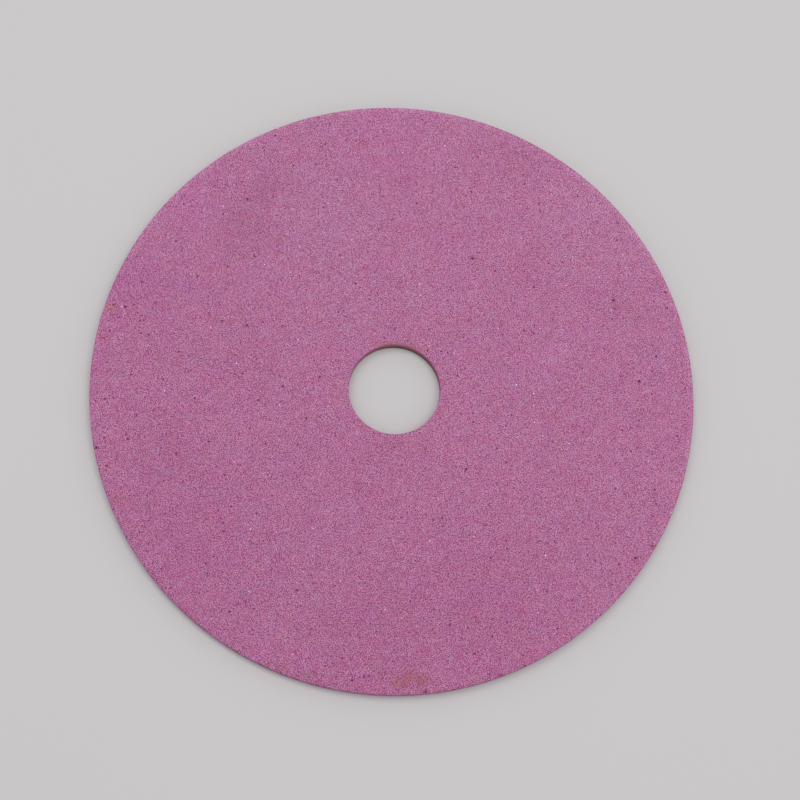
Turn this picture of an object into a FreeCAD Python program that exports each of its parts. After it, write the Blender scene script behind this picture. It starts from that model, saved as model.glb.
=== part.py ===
import FreeCAD, Part
import math
import os

# Chainsaw sharpening wheel: a thin flat abrasive disc with a plain round bore.
# It is pressed, fired and trued as one piece, so it is one solid with no bush.
# The wheel lies on its lower face. The origin is on the wheel's axis at z = 0,
# in the plane of that face, and +Z runs along the axis through the bore.

# Driving dimensions, in millimetres.
wheel_diameter = 145.0
wheel_thickness = 3.2
bore_diameter = 22.0

# The rim and the bore meet the two faces in corners that handling has rounded
# by about one grain. The reamed bore keeps the crisper corner.
rim_corner_radius = 0.25
bore_corner_radius = 0.15


def corner_arc(centre_x, centre_z, radius, start_degrees):
    """A quarter circle in the XZ plane, from start_degrees to 90 degrees further."""
    points = []
    for turn in (0, 45, 90):
        angle = math.radians(start_degrees + turn)
        x = centre_x + radius * math.cos(angle)
        z = centre_z + radius * math.sin(angle)
        points.append(FreeCAD.Vector(x, 0, z))
    return Part.Arc(*points).toShape()


def ring_section(bore_radius, rim_radius, thickness, bore_corner, rim_corner):
    """The closed outline of one side of the wheel, cut through its axis."""
    corners = [
        corner_arc(rim_radius - rim_corner, rim_corner, rim_corner, -90),
        corner_arc(rim_radius - rim_corner, thickness - rim_corner, rim_corner, 0),
        corner_arc(bore_radius + bore_corner, thickness - bore_corner, bore_corner, 90),
        corner_arc(bore_radius + bore_corner, bore_corner, bore_corner, 180),
    ]
    edges = []
    for corner, following in zip(corners, corners[1:] + corners[:1]):
        edges.append(corner)
        edges.append(Part.makeLine(corner.Vertexes[-1].Point, following.Vertexes[0].Point))
    return Part.Wire(edges)


def make_wheel():
    """The wheel: its section turned once round the axis."""
    section = ring_section(
        bore_diameter / 2,
        wheel_diameter / 2,
        wheel_thickness,
        bore_corner_radius,
        rim_corner_radius,
    )
    axis_point = FreeCAD.Vector(0, 0, 0)
    axis_direction = FreeCAD.Vector(0, 0, 1)
    return Part.Face(section).revolve(axis_point, axis_direction, 360)


os.makedirs("parts", exist_ok=True)
wheel = make_wheel()
wheel.exportStep("parts/grinding_wheel.step")
print(
    "grinding_wheel:",
    wheel.ShapeType,
    "valid" if wheel.isValid() else "not valid",
    f"{wheel.Volume:.1f} mm3",
)
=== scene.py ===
import math

import bmesh
import bpy
from mathutils import Matrix, Vector


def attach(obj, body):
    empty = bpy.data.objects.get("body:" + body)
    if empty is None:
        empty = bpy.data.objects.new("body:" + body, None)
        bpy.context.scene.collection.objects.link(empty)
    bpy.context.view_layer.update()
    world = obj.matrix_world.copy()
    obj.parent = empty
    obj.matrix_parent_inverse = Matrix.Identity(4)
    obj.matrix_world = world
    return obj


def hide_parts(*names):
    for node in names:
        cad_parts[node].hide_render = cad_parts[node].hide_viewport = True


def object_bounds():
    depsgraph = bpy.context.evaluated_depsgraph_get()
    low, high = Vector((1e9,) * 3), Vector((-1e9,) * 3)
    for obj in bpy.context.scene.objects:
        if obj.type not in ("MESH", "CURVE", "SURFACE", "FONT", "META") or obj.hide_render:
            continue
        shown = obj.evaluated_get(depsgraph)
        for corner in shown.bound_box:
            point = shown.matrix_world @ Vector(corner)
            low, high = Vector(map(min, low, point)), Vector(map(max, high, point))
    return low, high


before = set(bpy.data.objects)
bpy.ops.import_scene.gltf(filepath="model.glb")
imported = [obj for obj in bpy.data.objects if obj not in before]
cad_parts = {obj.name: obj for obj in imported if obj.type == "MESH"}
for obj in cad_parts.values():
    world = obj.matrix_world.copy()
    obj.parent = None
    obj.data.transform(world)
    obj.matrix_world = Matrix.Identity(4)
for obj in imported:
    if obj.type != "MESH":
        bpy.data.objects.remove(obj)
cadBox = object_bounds()
print("frame loaded, CAD box", [list(corner) for corner in cadBox])

mm = 0.001


def srgb(red, green, blue):
    # a colour read as 0 to 255 on a screen, turned into the linear one that the nodes use
    def linear(level):
        share = level / 255
        return share / 12.92 if share <= 0.04045 else ((share + 0.055) / 1.055) ** 2.4

    return (linear(red), linear(green), linear(blue), 1)


# The camera stands almost over the wheel, a little to the near side
view = {
    "tilt": math.radians(14.133),
    "turn": math.radians(-13.893),
    "distance": 406.13 * mm,
    "aim": Vector((1.4854, -1.9110, 0)) * mm,
    "sensor": 36.0,
    "focalPixels": 1683.6,
    "picturePixels": 800,
    "clipStart": 0.01,
    "clipEnd": 10,
}


def placeCamera():
    back = Vector((
        math.sin(view["turn"]) * math.sin(view["tilt"]),
        -math.cos(view["turn"]) * math.sin(view["tilt"]),
        math.cos(view["tilt"]),
    ))
    right = Vector((0, 1, 0)).cross(back).normalized()
    up = back.cross(right)
    spot = view["aim"] + view["distance"] * back
    bpy.ops.object.camera_add()
    camera = bpy.context.object
    camera.name = "photoCamera"
    camera.matrix_world = Matrix.Translation(spot) @ Matrix((right, up, back)).transposed().to_4x4()
    camera.data.sensor_width = view["sensor"]
    camera.data.lens = view["sensor"] * view["focalPixels"] / view["picturePixels"]
    camera.data.clip_start = view["clipStart"]
    camera.data.clip_end = view["clipEnd"]
    bpy.context.scene.camera = camera


placeCamera()
print("camera placed")

# Soft studio light: a bright even dome, and one long lamp overhead that lies aslant
studio = {
    "floorSize": 14.0,
    "floorDrop": 0.02 * mm,     # keeps the floor and the wheel's lower face apart
    "floorColour": srgb(202, 200, 201),
    "floorRoughness": 0.7,
    "floorSpecular": 0.2,
    "domeStrength": 0.59,
    "lampPower": 4.3,
    "lampLength": 1.4,
    "lampWidth": 0.36,
    "lampTurn": math.radians(-31),
    "lampPlace": (0.02, 0.085, 0.9),
}


def layFloor():
    bpy.ops.object.select_all(action="DESELECT")
    bpy.ops.mesh.primitive_plane_add(
        size=studio["floorSize"], location=(0, 0, -studio["floorDrop"])
    )
    floor = bpy.context.object
    floor.name = "studioFloor"
    paint = bpy.data.materials.new("studioFloorPaint")
    paint.use_nodes = True
    shader = paint.node_tree.nodes["Principled BSDF"]
    shader.inputs["Base Color"].default_value = studio["floorColour"]
    shader.inputs["Roughness"].default_value = studio["floorRoughness"]
    shader.inputs["Specular IOR Level"].default_value = studio["floorSpecular"]
    floor.data.materials.append(paint)


def setLights():
    world = bpy.data.worlds.new("studioDome")
    bpy.context.scene.world = world
    world.use_nodes = True
    dome = world.node_tree.nodes["Background"]
    dome.inputs["Color"].default_value = (1, 1, 1, 1)
    dome.inputs["Strength"].default_value = studio["domeStrength"]
    place = Vector(studio["lampPlace"])
    bpy.ops.object.light_add(type="AREA", location=place)
    lamp = bpy.context.object
    lamp.name = "softLamp"
    lamp.data.shape = "ELLIPSE"
    lamp.data.size = studio["lampLength"]
    lamp.data.size_y = studio["lampWidth"]
    lamp.data.energy = studio["lampPower"]
    lamp.rotation_euler = (0, 0, studio["lampTurn"])
    bpy.context.scene.view_settings.view_transform = "Standard"


layFloor()
setLights()
print("floor and lights placed")

# The wheel: one ring of pressed and fired abrasive, as wide and as thick as its CAD solid
wheel = {
    "node": "grinding_wheel",
    "slot": "pink_abrasive",
    "radius": cadBox[1][0],
    "thickness": cadBox[1][2],
    "boreRadius": 11.0 * mm,
    "rimCorner": 0.25 * mm,
    "boreCorner": 0.15 * mm,
    "cornerSteps": 4,
    "sectors": 30,
    "sectorSteps": 50,
    "edgeBand": 1.2 * mm,       # the ring of each face that can lose grains to the edge
    "edgeBandCuts": 3,
    "faceCuts": 5,
    "rimCuts": 9,
    "boreCuts": 7,
    "grainSize": 0.36 * mm,     # grains that stand out or are missing along the edges
    "grainRelief": 0.08 * mm,
    "wearSize": 1.6 * mm,
    "wearRelief": 0.03 * mm,
    "weldWithin": 0.002 * mm,
    "smoothAngle": math.radians(50),
}


def unpicked(piece):
    # the piece's mesh in edit mode, with nothing on it selected
    mesh = bmesh.from_edit_mesh(piece.data)
    for part in (*mesh.faces, *mesh.edges, *mesh.verts):
        part.select_set(False)
    return mesh


def pickEdges(piece, wanted):
    # selects the edges whose two ends both pass the test
    mesh = unpicked(piece)
    for edge in mesh.edges:
        if all(wanted(vert.co) for vert in edge.verts):
            edge.select_set(True)
    bmesh.update_edit_mesh(piece.data)


def pickVerts(piece, wanted):
    mesh = unpicked(piece)
    for vert in mesh.verts:
        vert.select_set(wanted(vert.co))
    bmesh.update_edit_mesh(piece.data)


def drawSection():
    # the ring's cut face as a closed line in the XZ plane, with its four corners rounded
    width = wheel["radius"] - wheel["boreRadius"]
    middle = (wheel["radius"] + wheel["boreRadius"]) / 2
    bpy.ops.object.select_all(action="DESELECT")
    bpy.ops.mesh.primitive_plane_add(
        size=1, location=(middle, 0, wheel["thickness"] / 2), rotation=(math.pi / 2, 0, 0)
    )
    piece = bpy.context.object
    piece.name = "grindingWheel"
    piece.scale = (width, wheel["thickness"], 1)
    bpy.ops.object.transform_apply(location=True, rotation=True, scale=True)
    bpy.ops.object.mode_set(mode="EDIT")
    bpy.ops.mesh.select_mode(type="VERT")
    corners = (
        ("rimCorner", lambda at: at.x > middle),
        ("boreCorner", lambda at: at.x < middle),
    )
    for corner, isHere in corners:
        pickVerts(piece, isHere)
        bpy.ops.mesh.bevel(
            affect="VERTICES", offset=wheel[corner], segments=wheel["cornerSteps"], profile=0.5
        )
    bpy.ops.mesh.select_all(action="SELECT")
    bpy.ops.mesh.delete(type="ONLY_FACE")
    return piece


def divideSection(piece):
    # rows close together on the walls and next to them, and a few across each face
    rimEdge = wheel["radius"] - wheel["rimCorner"]
    boreEdge = wheel["boreRadius"] + wheel["boreCorner"]
    bandIn = boreEdge + wheel["edgeBand"]
    bandOut = rimEdge - wheel["edgeBand"]
    near = 0.001 * mm
    for cut in (bandIn, bandOut):
        bpy.ops.mesh.select_all(action="SELECT")
        bpy.ops.mesh.bisect(plane_co=(cut, 0, 0), plane_no=(1, 0, 0))
    rows = (
        (wheel["rimCuts"], lambda at: at.x > wheel["radius"] - near),
        (wheel["boreCuts"], lambda at: at.x < wheel["boreRadius"] + near),
        (wheel["edgeBandCuts"], lambda at: bandOut - near < at.x < rimEdge + near),
        (wheel["edgeBandCuts"], lambda at: boreEdge - near < at.x < bandIn + near),
        (wheel["faceCuts"], lambda at: bandIn - near < at.x < bandOut + near),
    )
    for cuts, isHere in rows:
        pickEdges(piece, isHere)
        bpy.ops.mesh.subdivide(number_cuts=cuts)


def spinSection(piece):
    # one sector is spun, then copied round the axis, and the copies are joined at their seams
    sector = 2 * math.pi / wheel["sectors"]
    bpy.ops.mesh.select_all(action="SELECT")
    bpy.ops.mesh.spin(steps=wheel["sectorSteps"], angle=sector, center=(0, 0, 0), axis=(0, 0, 1))
    bpy.ops.mesh.select_all(action="SELECT")
    bpy.ops.mesh.spin(
        steps=wheel["sectors"] - 1, angle=2 * math.pi - sector, dupli=True,
        center=(0, 0, 0), axis=(0, 0, 1),
    )
    bpy.ops.mesh.select_all(action="SELECT")
    bpy.ops.mesh.remove_doubles(threshold=wheel["weldWithin"])
    bpy.ops.mesh.normals_make_consistent(inside=False)
    bpy.ops.object.mode_set(mode="OBJECT")


def looseGrains(piece):
    # grains broken out along both edges and on both walls, never past the true outline
    loose = piece.vertex_groups.new(name="looseGrains")
    rimEdge = wheel["radius"] - wheel["rimCorner"]
    boreEdge = wheel["boreRadius"] + wheel["boreCorner"]
    for vert in piece.data.vertices:
        reach = math.hypot(vert.co.x, vert.co.y)
        inside = min(rimEdge - reach, reach - boreEdge) / wheel["edgeBand"]
        if inside < 1:
            loose.add([vert.index], 1 - max(inside, 0) ** 0.5, "REPLACE")
    for name, kind, size, relief in (
        ("grainRelief", "VORONOI", wheel["grainSize"], wheel["grainRelief"]),
        ("wearRelief", "CLOUDS", wheel["wearSize"], wheel["wearRelief"]),
    ):
        pattern = bpy.data.textures.new(name, kind)
        pattern.noise_scale = size
        push = piece.modifiers.new(name, "DISPLACE")
        push.texture = pattern
        push.texture_coords = "LOCAL"
        push.vertex_group = "looseGrains"
        push.mid_level = 1
        push.strength = relief
        bpy.context.view_layer.objects.active = piece
        bpy.ops.object.modifier_apply(modifier=name)


# Knocks in the upper edge of the rim: each is a place, a half length outwards,
# a half width along the rim and a depth
knocks = {
    "notchAtTheLeft": ((-69.90, -15.26), 0.55, 0.32, 0.32),
    "pitAtTheBottom": ((6.97, -71.69), 0.40, 0.45, 0.28),
    "nickAtTheUpperLeft": ((-68.52, 20.82), 0.30, 0.60, 0.12),
}
knockReach = 1.5 * mm           # no knock is felt further away than this
knockSlope = 3                  # a knock goes down by this many times what it goes inwards


def knockRim(piece):
    top = wheel["thickness"]
    for (x, y), length, width, depth in knocks.values():
        heart = Vector((x, y)) * mm
        outward = heart.normalized()
        for vert in piece.data.vertices:
            offset = Vector((vert.co.x, vert.co.y)) - heart
            if offset.length > knockReach or vert.co.z < top / 2:
                continue
            along = offset.dot(outward) / (length * mm)
            across = offset.cross(outward) / (width * mm)
            below = (top - vert.co.z) / (2 * depth * mm)
            share = max(0, 1 - along ** 2 - across ** 2 - below ** 2)
            vert.co.z -= share * depth * mm
            vert.co.x -= outward.x * share * depth * mm / knockSlope
            vert.co.y -= outward.y * share * depth * mm / knockSlope


# The map that the wheel's finish is laid out on: each half of the skin, cut half way up
# the rim and the bore, lies flat as a ring, and the two rings share the square
bakeMap = {
    "upperCentre": (0.33, 0.33),
    "upperRadius": 0.32,
    "lowerCentre": (0.74, 0.74),
    "lowerRadius": 0.25,
}


def layBakeMap(piece):
    half = wheel["thickness"] / 2
    middle = (wheel["radius"] + wheel["boreRadius"]) / 2
    widest = wheel["radius"] + half
    mesh = piece.data
    layer = mesh.uv_layers.new(name="OFBake")
    for face in mesh.polygons:
        upper = face.center.z > half
        centre = bakeMap["upperCentre" if upper else "lowerCentre"]
        scale = bakeMap["upperRadius" if upper else "lowerRadius"] / widest
        for corner in face.loop_indices:
            at = mesh.vertices[mesh.loops[corner].vertex_index].co
            reach = math.hypot(at.x, at.y)
            depth = wheel["thickness"] - at.z if upper else at.z
            spread = (reach + depth if reach > middle else reach - depth) * scale / reach
            layer.data[corner].uv = (centre[0] + at.x * spread, centre[1] + at.y * spread)


grindingWheel = drawSection()
divideSection(grindingWheel)
print("section drawn")
spinSection(grindingWheel)
print("ring spun")
looseGrains(grindingWheel)
knockRim(grindingWheel)
print("edges worn,", len(knocks), "knocks")
layBakeMap(grindingWheel)
bpy.ops.object.select_all(action="DESELECT")
grindingWheel.select_set(True)
bpy.context.view_layer.objects.active = grindingWheel
bpy.ops.object.shade_smooth_by_angle(angle=wheel["smoothAngle"])
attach(grindingWheel, "root")
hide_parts(wheel["node"])
print("wheel made,", len(grindingWheel.data.polygons), "faces")


def addNode(tree, kind, label, **settings):
    made = tree.nodes.new("ShaderNode" + kind)
    made.label = label
    for name, value in settings.items():
        setattr(made, name, value)
    return made


def feed(tree, value, socket):
    # a number is set on the socket, and another node's output is linked to it
    if isinstance(value, bpy.types.NodeSocket):
        tree.links.new(value, socket)
    else:
        socket.default_value = value


def reckon(tree, operation, label, *values):
    made = addNode(tree, "Math", label, operation=operation)
    for value, socket in zip(values, made.inputs):
        feed(tree, value, socket)
    return made.outputs[0]


def scaled(tree, place, factor, shift=(0, 0, 0)):
    made = addNode(tree, "VectorMath", "scaled place", operation="MULTIPLY_ADD")
    feed(tree, place, made.inputs[0])
    made.inputs[1].default_value = (factor, factor, factor)
    made.inputs[2].default_value = shift
    return made.outputs[0]


def stretch(tree, value, label, fromMin, fromMax, toMin, toMax, curve="LINEAR"):
    made = addNode(tree, "MapRange", label, clamp=True, interpolation_type=curve)
    feed(tree, value, made.inputs["Value"])
    made.inputs["From Min"].default_value = fromMin
    made.inputs["From Max"].default_value = fromMax
    made.inputs["To Min"].default_value = toMin
    made.inputs["To Max"].default_value = toMax
    return made.outputs[0]


def mixed(tree, share, label, colour, overlay):
    made = addNode(tree, "Mix", label, data_type="RGBA")
    feed(tree, share, made.inputs[0])
    feed(tree, colour, made.inputs[6])
    feed(tree, overlay, made.inputs[7])
    return made.outputs[2]


def along(tree, place, label, way):
    made = addNode(tree, "VectorMath", label, operation="DOT_PRODUCT")
    feed(tree, place, made.inputs[0])
    made.inputs[1].default_value = way
    return made.outputs["Value"]


def noiseTone(tree, place, label, size, tone, detail):
    # a soft pattern that swings evenly round nought, about as far as the tone
    pattern = addNode(tree, "TexNoise", label)
    feed(tree, place, pattern.inputs["Vector"])
    pattern.inputs["Scale"].default_value = 1 / size
    pattern.inputs["Detail"].default_value = detail
    swing = reckon(tree, "SUBTRACT", label + " round nought", pattern.outputs[0], 0.5)
    return reckon(tree, "MULTIPLY", label + " tone", swing, tone * 4)


def scatter(tree, place, label, spacing, radius, tone, shift):
    # round spots of every size up to the radius, as scattered balls cut by the surface
    balls = addNode(tree, "TexVoronoi", label)
    feed(tree, scaled(tree, place, 1 / spacing, shift), balls.inputs["Vector"])
    balls.inputs["Scale"].default_value = 1
    lot = addNode(tree, "SeparateColor", label + " lot")
    feed(tree, balls.outputs["Color"], lot.inputs[0])
    size = reckon(tree, "MULTIPLY", label + " size", lot.outputs[0], radius)
    away = reckon(tree, "MULTIPLY", label + " distance", balls.outputs["Distance"], spacing)
    depth = reckon(tree, "SUBTRACT", label + " depth", size, away)
    return stretch(tree, depth, label + " tone", 0, radius / 2, 0, tone)


def nearness(tree, place, label, spot, radius):
    # one at the spot on the upper face, and nought from the radius on
    away = addNode(tree, "VectorMath", label, operation="DISTANCE")
    feed(tree, place, away.inputs[0])
    away.inputs[1].default_value = (spot[0], spot[1], wheel["thickness"] / mm)
    return stretch(tree, away.outputs["Value"], label + " nearness", 0, radius, 1, 0, "SMOOTHSTEP")


# How uneven the edges of each kind of mark are: the size of the waves and how far they push
edgeWaves = {
    "speck": (0.3, 0.25),
    "stain": (0.9, 1.3),
    "patch": (9, 16),
    "wall": (0.5, 0.2),
}


def ragged(tree, place, kind):
    # the place, pushed about so that what is drawn on it has an uneven edge
    size, reach = edgeWaves[kind]
    label = kind + " edges"
    pattern = addNode(tree, "TexNoise", label)
    feed(tree, place, pattern.inputs["Vector"])
    pattern.inputs["Scale"].default_value = 1 / size
    push = scaled(tree, pattern.outputs["Color"], reach, (-reach / 2, -reach / 2, -reach / 2))
    moved = addNode(tree, "VectorMath", label + " pushed", operation="ADD")
    feed(tree, place, moved.inputs[0])
    feed(tree, push, moved.inputs[1])
    return moved.outputs[0]


# The wheel's own matter: pink grains in a glassy bond, with dark pores between them; its glints and
# its fade across the face are painted light.
# Sizes are in millimetres. A tone is a step in screen levels, up or down from the mean colour.
abrasive = {
    "mean": (178.6, 108.6, 150.8),
    "toneSpread": 110,
    "toneStops": 9,
    "levelSpan": (6, 250),      # no colour is darker or paler than these levels
    "channelGain": (1.01, 1.065, 1.02),
    "grainSize": 0.22,
    "grainTone": 22,
    "seamTone": 159,
    "grainReach": 0.49,         # how far a grain's heart lies from its seams, in grain sizes
    "poreSpacing": 1.9,
    "poreRadius": 0.34,
    "poreTone": -58,
    "poreShift": (3, 5, 7),     # the three shifts keep the three scatters apart
    "pitSpacing": 4.5,
    "pitRadius": 0.38,
    "pitTone": -50,
    "pitShift": (11, 2, 9),
    # the glints are painted highlights: bright spots in the colour where crystals catch the light
    "glintSpacing": 2.1,
    "glintRadius": 0.29,
    "glintTone": 85,
    "glintShift": (6, 13, 4),
    "clumpSize": 1.6,
    "clumpTone": 0.5,
    "clumpDetail": 2,
    "mottleSize": 7,
    "mottleTone": 0.8,
    "mottleDetail": 1,
    "paintedLightFadeTone": 2.8,            # painted light: the step from the middle to the rim, lighter towards the lit side and darker on the far side
    "paintedLightWay": (0.45, 0.89, 0),
    "grainHeight": 0.12,
    "poreHeight": 0.002,        # millimetres of depth for each step of tone
    "roughness": (0.62, 0.95),
    "specular": 0.3,
}


def grainTones(tree, place):
    # each grain has its own tone, and darkens towards the seams of bond and pores round it
    grains = addNode(tree, "TexVoronoi", "grains")
    feed(tree, place, grains.inputs["Vector"])
    grains.inputs["Scale"].default_value = 1 / abrasive["grainSize"]
    lot = addNode(tree, "SeparateColor", "each grain's lot")
    feed(tree, grains.outputs["Color"], lot.inputs[0])
    swing = reckon(tree, "SUBTRACT", "grain round nought", lot.outputs[0], 0.5)
    own = reckon(tree, "MULTIPLY", "grain tone", swing, abrasive["grainTone"])
    heart = reckon(
        tree, "SUBTRACT", "nearness to the grain's heart",
        abrasive["grainReach"], grains.outputs["Distance"],
    )
    seams = reckon(tree, "MULTIPLY", "seam tone", heart, abrasive["seamTone"])
    return reckon(tree, "ADD", "grain and seam", own, seams), heart, lot.outputs[1]


# Single dark pits and one bright grain, by place, radius and tone
specks = {
    "inOrangeSpot": ((-68.30, 18.65), 0.36, -40),
    "besideOrangeSpot": ((-67.65, 19.81), 0.38, -60),
    "brightGrain": ((-65.57, 19.46), 0.42, 105),
    "afterBrightGrain": ((-64.92, 19.46), 0.38, -80),
    "nextAfterBrightGrain": ((-64.52, 19.31), 0.36, -75),
    "leftPairFirst": ((-61.08, 16.01), 0.38, -75),
    "leftPairSecond": ((-60.32, 16.11), 0.34, -65),
    "leftLower": ((-68.25, 13.41), 0.36, -70),
    "leftInner": ((-57.71, 20.52), 0.38, -70),
    "leftInnerLower": ((-58.31, 19.17), 0.36, -65),
    "inNotch": ((-70.20, -15.26), 0.50, -80),
    "inNotchInner": ((-69.65, -15.24), 0.30, -45),
    "nearNotch": ((-62.97, -13.00), 0.42, -75),
    "nearNotchAbove": ((-63.42, -12.10), 0.38, -60),
    "streakTop": ((-65.40, -17.27), 0.36, -55),
    "streakFoot": ((-65.20, -17.97), 0.34, -60),
    "inRimPit": ((7.00, -71.67), 0.48, -110),
    "aboveRimPit": ((7.28, -71.10), 0.36, -60),
    "besideBoreFirst": ((7.95, 9.72), 0.38, -65),
    "besideBoreSecond": ((7.65, 8.77), 0.34, -60),
    "rightOfBore": ((12.70, 4.12), 0.38, -60),
    "lowerLeft": ((-38.14, -53.51), 0.42, -80),
    "bottomLeft": ((-7.03, -68.13), 0.40, -80),
    "belowBore": ((9.11, -31.68), 0.38, -65),
    "leftOfBore": ((-35.60, 15.25), 0.48, -105),
    "proudGrain": ((-4.53, 72.34), 0.22, -70),
    "redBrownHeart": ((-36.10, 47.40), 0.32, -50),
    "rightMiddle": ((59.30, 2.80), 0.52, -120),
    "rightOuter": ((63.70, 9.20), 0.42, -85),
    "rightOuterAbove": ((62.80, 11.90), 0.38, -65),
    "inRightRust": ((61.20, -37.40), 0.42, -80),
    "underRightRust": ((57.00, -40.20), 0.50, -90),
    "rightUpper": ((66.90, 25.30), 0.40, -45),
    "rightUpperNext": ((66.80, 21.50), 0.42, -55),
    "rightInner": ((53.60, 23.20), 0.46, -105),
    "upperRight": ((19.10, 33.20), 0.46, -90),
    "farUpperRight": ((55.30, 43.10), 0.44, -55),
    "topLeft": ((-29.60, 64.20), 0.44, -80),
    "leftOfMiddle": ((-41.50, 16.20), 0.40, -65),
}


def pitTones(tree, place):
    tones = []
    for kind in ("pore", "pit", "glint"):
        tones.append(scatter(
            tree, place, kind, abrasive[kind + "Spacing"], abrasive[kind + "Radius"],
            abrasive[kind + "Tone"], abrasive[kind + "Shift"],
        ))
    near = ragged(tree, place, "speck")
    for name, (spot, radius, tone) in specks.items():
        tones.append(reckon(tree, "MULTIPLY", name, nearness(tree, near, name, spot, radius), tone))
    total = tones[0]
    for tone in tones[1:]:
        total = reckon(tree, "ADD", "with the next", total, tone)
    return total


# The outer edge of each face has a painted highlight towards the lit side and painted shade on the
# far side, and the wall is mixed in patches towards a darker grey purple
rimEdgeLightAndWall = {
    "paleBand": (1.5, 0.7),     # millimetres inside the rim: here it starts, and here it is whole
    "edgeLightTone": 7,
    "edgeLightWay": (0.45, 0.89, 0),
    "edgeLightSpan": (-70, 20),      # from one side of the wheel to the other
    "edgeLightShare": (-0.6, 1),
    "wallBand": (0.3, 0.15),    # the same for the wall's greyer patches
    "wallColour": (112, 88, 104),
    "wallStrength": (0.0, 0.25),
    "dullScale": 0.6,
    "dullSpan": (0.35, 0.65),
}


def reachFromAxis(tree, place):
    flat = addNode(tree, "VectorMath", "flattened", operation="MULTIPLY")
    feed(tree, ragged(tree, place, "wall"), flat.inputs[0])
    flat.inputs[1].default_value = (1, 1, 0)
    reach = addNode(tree, "VectorMath", "distance from the axis", operation="LENGTH")
    feed(tree, flat.outputs[0], reach.inputs[0])
    return reach.outputs["Value"]


def paintedLightTones(tree, place, reach):
    # painted light: the whole face is a little lighter towards the lit side, and its outer edge has a
    # painted highlight there and painted shade on the far side
    fade = along(tree, place, "fade", abrasive["paintedLightWay"])
    fade = reckon(tree, "MULTIPLY", "fade tone", fade, abrasive["paintedLightFadeTone"] / (wheel["radius"] / mm))
    # painted highlight along the outer edge on the lit side, painted shade on the far side
    start, whole = (wheel["radius"] / mm - inside for inside in rimEdgeLightAndWall["paleBand"])
    band = stretch(tree, reach, "edge band", start, whole, 0, rimEdgeLightAndWall["edgeLightTone"])
    side = along(tree, place, "lit side", rimEdgeLightAndWall["edgeLightWay"])
    side = stretch(tree, side, "edge light by side", *rimEdgeLightAndWall["edgeLightSpan"], *rimEdgeLightAndWall["edgeLightShare"])
    pale = reckon(tree, "MULTIPLY", "painted edge light", band, side)
    return reckon(tree, "ADD", "painted light on face and edge", fade, pale)


def pinkRamp(tree, tone):
    # the tones run from a dark, deep pink to a pale one, with the mean colour half way
    spread = abrasive["toneSpread"]
    share = stretch(tree, tone, "tone as a share", -spread, spread, 0, 1)
    ramp = addNode(tree, "ValToRGB", "pinks")
    stops = ramp.color_ramp.elements
    while len(stops) < abrasive["toneStops"]:
        stops.new(0.5)
    darkest, palest = abrasive["levelSpan"]
    for index, stop in enumerate(stops):
        part = index / (abrasive["toneStops"] - 1)
        stop.position = part
        step = spread * (2 * part - 1)
        levels = [mean + step * gain for mean, gain in zip(abrasive["mean"], abrasive["channelGain"])]
        stop.color = srgb(*(min(max(level, darkest), palest) for level in levels))
    feed(tree, share, ramp.inputs[0])
    return ramp.outputs["Color"]


# Broad faint patches on the upper face, by place, radius and steps in red, green and blue
patches = {
    "upperLeftShade": ((-36, 42), 13, (-6, -5, -7)),
    "upperLeftShadeEnd": ((-31, 51), 10, (-5, -5, -6)),
    "upperLeftLilac": ((-50, 46), 13, (2, -1, 4)),
    "leftPurple": ((-63, 24), 15, (-2, -5, -1)),
    "paleBand": ((-19, 42), 20, (-1, 4, 3)),
    "paleBandFoot": ((-14, 24), 14, (0, 3, 1)),
    "paleAboveBore": ((6, 27), 10, (0, 3, 1)),
    "topLilac": ((2, 68), 15, (1, -1, 3)),
    "topRose": ((4, 52), 7, (-2, -5, -2)),
    "topRightShade": ((31, 60), 10, (-4, -4, -5)),
    "upperRightPale": ((50, 42), 22, (2, 5, 4)),
    "innerRightRose": ((31, 29), 11, (-1, -3, -3)),
    "rightLilac": ((38, 9), 12, (2, 2, 4)),
    "rightShade": ((59, 22), 9, (-4, -3, -5)),
    "leftShade": ((-35, 5), 11, (-2, -4, -3)),
    "lowerLeftShade": ((-55, -14), 13, (-3, -4, -4)),
    "lowerLeftPurple": ((-48, -38), 30, (-2, -4, -2)),
    "belowBoreBrown": ((-3, -20), 16, (-3, -4, -4)),
    "lowerBrown": ((22, -52), 32, (-2, -5, -4)),
    "bottomShade": ((-8, -58), 22, (-2, -4, -4)),
}
lightPerLevel = 2.2             # 1 % more in screen level is about 2.2 % more light


def patchGain(tree, place):
    # the patches as a gain of each channel, in light
    near = ragged(tree, place, "patch")
    gain = (1, 1, 1)
    for name, (spot, radius, steps) in patches.items():
        added = addNode(tree, "VectorMath", name, operation="MULTIPLY_ADD")
        feed(tree, nearness(tree, near, name, spot, radius), added.inputs[0])
        added.inputs[1].default_value = [
            lightPerLevel * step / level for step, level in zip(steps, abrasive["mean"])
        ]
        feed(tree, gain, added.inputs[2])
        gain = added.outputs[0]
    return gain


# Slow changes of hue: the size, each channel's own reach and the reach that green and blue share
drifts = {
    "quickDrift": (2.2, (0.13, 0.18, 0.22), (0, 0.50, 0.32)),
    "slowDrift": (5.0, (0.10, 0.14, 0.13), (0, 0.18, 0.13)),
}
driftDetail = 3
sharedShift = (17, 4, 8)        # keeps the shared swing apart from the channels' own


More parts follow.
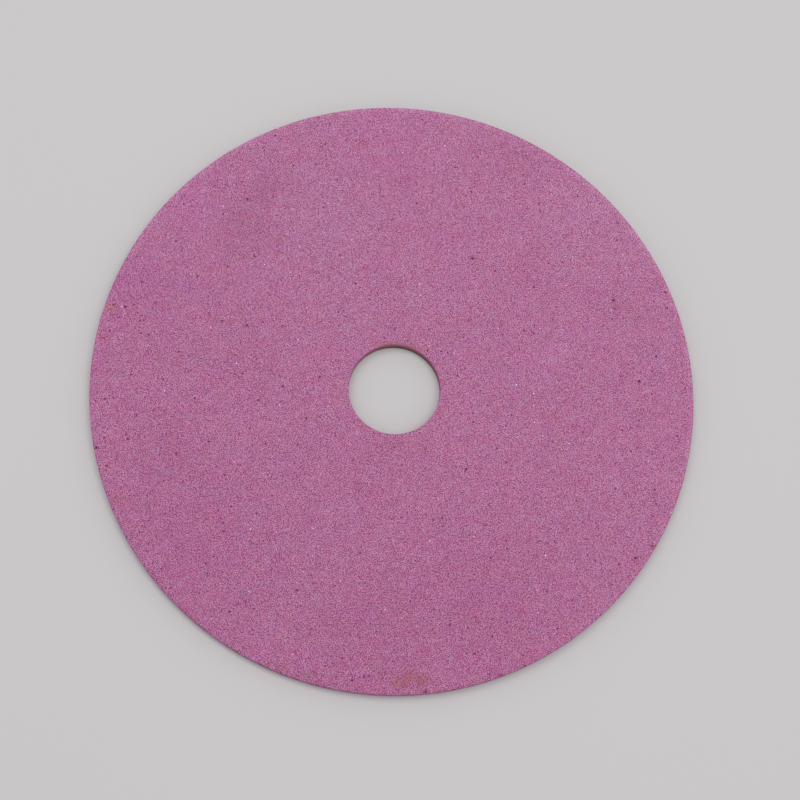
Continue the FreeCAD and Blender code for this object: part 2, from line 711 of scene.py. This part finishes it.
def driftHue(tree, place, colour):
    # faint drifts between purple and rose, on top of the broad patches
    gain = patchGain(tree, place)
    for name, (size, own, shared) in drifts.items():
        for kind, reach, shift in (("own", own, (0, 0, 0)), ("shared", shared, sharedShift)):
            pattern = addNode(tree, "TexNoise", name + " " + kind)
            feed(tree, scaled(tree, place, 1, shift), pattern.inputs["Vector"])
            pattern.inputs["Scale"].default_value = 1 / size
            pattern.inputs["Detail"].default_value = driftDetail
            # the channels swing apart in the colour, and together in the single value
            swing = addNode(tree, "VectorMath", name + " round nought", operation="SUBTRACT")
            feed(tree, pattern.outputs["Color" if kind == "own" else 0], swing.inputs[0])
            swing.inputs[1].default_value = (0.5, 0.5, 0.5)
            added = addNode(tree, "VectorMath", name + " added", operation="MULTIPLY_ADD")
            feed(tree, swing.outputs[0], added.inputs[0])
            added.inputs[1].default_value = reach
            feed(tree, gain, added.inputs[2])
            gain = added.outputs[0]
    made = addNode(tree, "VectorMath", "drifted", operation="MULTIPLY")
    feed(tree, colour, made.inputs[0])
    feed(tree, gain, made.inputs[1])
    return made.outputs[0]


# Stains on the upper face, by place, radius, colour and strength
stains = {
    "rustRight": ((6.20, -69.05), 2.5, (162, 92, 106), 0.8),
    "rustUpper": ((3.60, -67.50), 2.6, (166, 94, 114), 0.7),
    "rustLeft": ((0.80, -69.60), 2.7, (167, 101, 117), 0.75),
    "rustBetween": ((2.60, -69.30), 2.4, (170, 92, 116), 0.75),
    "spotAtBottomLeft": ((-25.30, -66.20), 1.7, (172, 104, 120), 0.6),
    "secondSpotAtBottomLeft": ((-19.70, -68.30), 1.6, (158, 106, 116), 0.7),
    "spotAtLowLeft": ((-64.00, -27.10), 1.5, (166, 102, 120), 0.5),
    "blushAbove": ((6.32, -63.88), 1.3, (188, 98, 134), 0.5),
    "faintRust": ((-2.72, -67.72), 2.2, (164, 102, 124), 0.4),
    "orangeSpot": ((-68.17, 19.00), 1.9, (184, 116, 124), 0.7),
    "blushBelow": ((-70.06, 11.61), 1.4, (190, 102, 130), 0.4),
    "lilacPatch": ((-64.93, 17.41), 1.2, (190, 132, 170), 0.6),
    "blushAtNotch": ((-67.36, -19.68), 1.2, (192, 98, 134), 0.45),
    "boreTintRight": ((11.80, 2.22), 1.0, (166, 88, 118), 0.5),
    "brownPatch": ((-27.97, 37.10), 2.0, (160, 98, 124), 0.55),
    "rustFleck": ((-36.87, 32.11), 0.8, (168, 86, 106), 0.7),
    "brownFleck": ((-39.98, 25.81), 0.9, (152, 86, 106), 0.6),
    "brownBlot": ((-32.99, 20.82), 1.0, (158, 90, 114), 0.6),
    "greyLilac": ((-39.55, 40.79), 1.8, (162, 118, 154), 0.35),
    "redFleck": ((-44.70, 18.12), 0.7, (144, 64, 80), 0.85),
    "redBrownUpper": ((17.88, 17.52), 0.7, (140, 70, 84), 0.8),
    "redBrownLower": ((22.89, 10.02), 0.6, (140, 70, 84), 0.8),
    "redBrownDot": ((-36.10, 47.40), 0.8, (138, 70, 84), 0.85),
    "roseFleck": ((-30.70, 36.20), 0.9, (176, 88, 116), 0.5),
    "rightBrown": ((54.40, 21.50), 1.4, (150, 88, 110), 0.75),
    "upperRightBrown": ((19.10, 33.30), 1.0, (148, 82, 100), 0.75),
    "rightEdgeRust": ((60.90, -37.60), 1.5, (184, 96, 112), 0.6),
}
stainTone = 60                  # the tones that still show on a stain
stainSwing = 0.85               # how far they lighten or darken it


def addStains(tree, place, tone, colour):
    # stains keep the grain's own tones, a little fainter
    near = ragged(tree, place, "stain")
    grainGain = stretch(
        tree, tone, "tone as light", -stainTone, stainTone, 1 - stainSwing, 1 + stainSwing
    )
    for name, (spot, radius, tint, strength) in stains.items():
        share = reckon(tree, "MULTIPLY", name, nearness(tree, near, name, spot, radius), strength)
        film = addNode(tree, "VectorMath", name + " film", operation="SCALE")
        film.inputs[0].default_value = srgb(*tint)[:3]
        feed(tree, grainGain, film.inputs["Scale"])
        colour = mixed(tree, share, name, colour, film.outputs[0])
    return colour


# Rust that an arbor has left on the bore's wall, together with painted shade: dark at the foot, where
# shade falls, and strong on the side that faces away from the lamp; the rust also spreads over the
# edge to the face in one place
boreRustAndShade = {
    "shadedFootColour": (106, 60, 60),
    "topColour": (164, 100, 116),
    "climb": (0.6, 2.3),
    "wallEnd": (0.06, 0.2),     # millimetres outside the bore, where the wall's rust and painted shade fade out
    "way": (0.38, 0.92, 0),
    "sideSpan": (3, 10),
    "otherSide": 0.25,
    "creepColour": (158, 96, 108),
    "creepWay": (0.12, 0.99, 0),
    "creepSpan": (9.9, 10.7),
    "creepTo": 1.3,             # millimetres outside the bore
    "creep": 0.65,
}


def rustAndShadeBore(tree, place, reach, colour):
    height = addNode(tree, "SeparateXYZ", "height on the wall")
    feed(tree, place, height.inputs[0])
    # painted shade with the rust: the wall darkens towards its foot
    climb = stretch(tree, height.outputs[2], "climb", *boreRustAndShade["climb"], 0, 1, "SMOOTHSTEP")
    bore = wheel["boreRadius"] / mm
    inner, outer = (bore + outside for outside in boreRustAndShade["wallEnd"])
    onWall = stretch(tree, reach, "bore wall", inner, outer, 1, 0)
    # painted shade with the rust: strongest on the side that faces away from the lamp
    side = along(tree, place, "rusty and shaded side", boreRustAndShade["way"])
    side = stretch(tree, side, "rust and shade by side", *boreRustAndShade["sideSpan"], boreRustAndShade["otherSide"], 1)
    share = reckon(tree, "MULTIPLY", "rust and shade on the wall", onWall, side)
    foot, top = srgb(*boreRustAndShade["shadedFootColour"]), srgb(*boreRustAndShade["topColour"])
    film = mixed(tree, climb, "rust and shade by height", foot, top)
    creepTo = bore + boreRustAndShade["creepTo"]
    past = stretch(tree, reach, "rust past the edge", outer, creepTo, boreRustAndShade["creep"], 0)
    there = along(tree, place, "creeping side", boreRustAndShade["creepWay"])
    there = stretch(tree, there, "creep", *boreRustAndShade["creepSpan"], 0, 1)
    creep = reckon(tree, "MULTIPLY", "creeping rust", past, there)
    colour = mixed(tree, creep, "rust on the face", colour, srgb(*boreRustAndShade["creepColour"]))
    return mixed(tree, share, "rusted and shaded bore", colour, film)


def dullRim(tree, place, reach, colour):
    dull = addNode(tree, "TexNoise", "dull patches")
    feed(tree, place, dull.inputs["Vector"])
    dull.inputs["Scale"].default_value = rimEdgeLightAndWall["dullScale"]
    strength = stretch(
        tree, dull.outputs[0], "dullness", *rimEdgeLightAndWall["dullSpan"], *rimEdgeLightAndWall["wallStrength"]
    )
    start, whole = (wheel["radius"] / mm - inside for inside in rimEdgeLightAndWall["wallBand"])
    onWall = stretch(tree, reach, "rim wall", start, whole, 0, 1)
    share = reckon(tree, "MULTIPLY", "dull share", onWall, strength)
    return mixed(tree, share, "dull rim", colour, srgb(*rimEdgeLightAndWall["wallColour"]))


def mixPinkAbrasive():
    matter = bpy.data.materials.new("pinkAbrasive")
    matter.use_nodes = True
    tree = matter.node_tree
    shader = tree.nodes["Principled BSDF"]
    shader.inputs["Specular IOR Level"].default_value = abrasive["specular"]
    where = addNode(tree, "TexCoord", "place on the wheel")
    place = scaled(tree, where.outputs["Object"], 1 / mm)

    grain, heart, lot = grainTones(tree, place)
    pits = pitTones(tree, place)
    clumps = noiseTone(
        tree, place, "clumps",
        abrasive["clumpSize"], abrasive["clumpTone"], abrasive["clumpDetail"],
    )
    mottle = noiseTone(
        tree, place, "mottle",
        abrasive["mottleSize"], abrasive["mottleTone"], abrasive["mottleDetail"],
    )
    tone = reckon(tree, "ADD", "grain and pits", grain, pits)
    tone = reckon(tree, "ADD", "with clumps", tone, clumps)
    tone = reckon(tree, "ADD", "with mottle", tone, mottle)
    reach = reachFromAxis(tree, place)
    # painted light: the face's fade towards the lit side, and the lit and shaded outer edge
    tone = reckon(tree, "ADD", "with painted light", tone, paintedLightTones(tree, place, reach))

    colour = driftHue(tree, place, pinkRamp(tree, tone))
    colour = addStains(tree, place, tone, colour)
    colour = rustAndShadeBore(tree, place, reach, colour)
    colour = dullRim(tree, place, reach, colour)
    feed(tree, colour, shader.inputs["Base Color"])

    low, high = abrasive["roughness"]
    feed(tree, stretch(tree, lot, "glossier grains", 0, 1, low, high), shader.inputs["Roughness"])

    rise = reckon(tree, "MULTIPLY", "grain height", heart, abrasive["grainHeight"])
    fall = reckon(tree, "MULTIPLY", "pit depth", pits, abrasive["poreHeight"])
    bump = addNode(tree, "Bump", "grain relief")
    bump.inputs["Distance"].default_value = mm
    feed(tree, reckon(tree, "ADD", "relief in millimetres", rise, fall), bump.inputs["Height"])
    feed(tree, bump.outputs[0], shader.inputs["Normal"])
    return matter


grindingWheel.data.materials.append(mixPinkAbrasive())
print("material made,", len(stains), "stains and", len(specks), "specks")
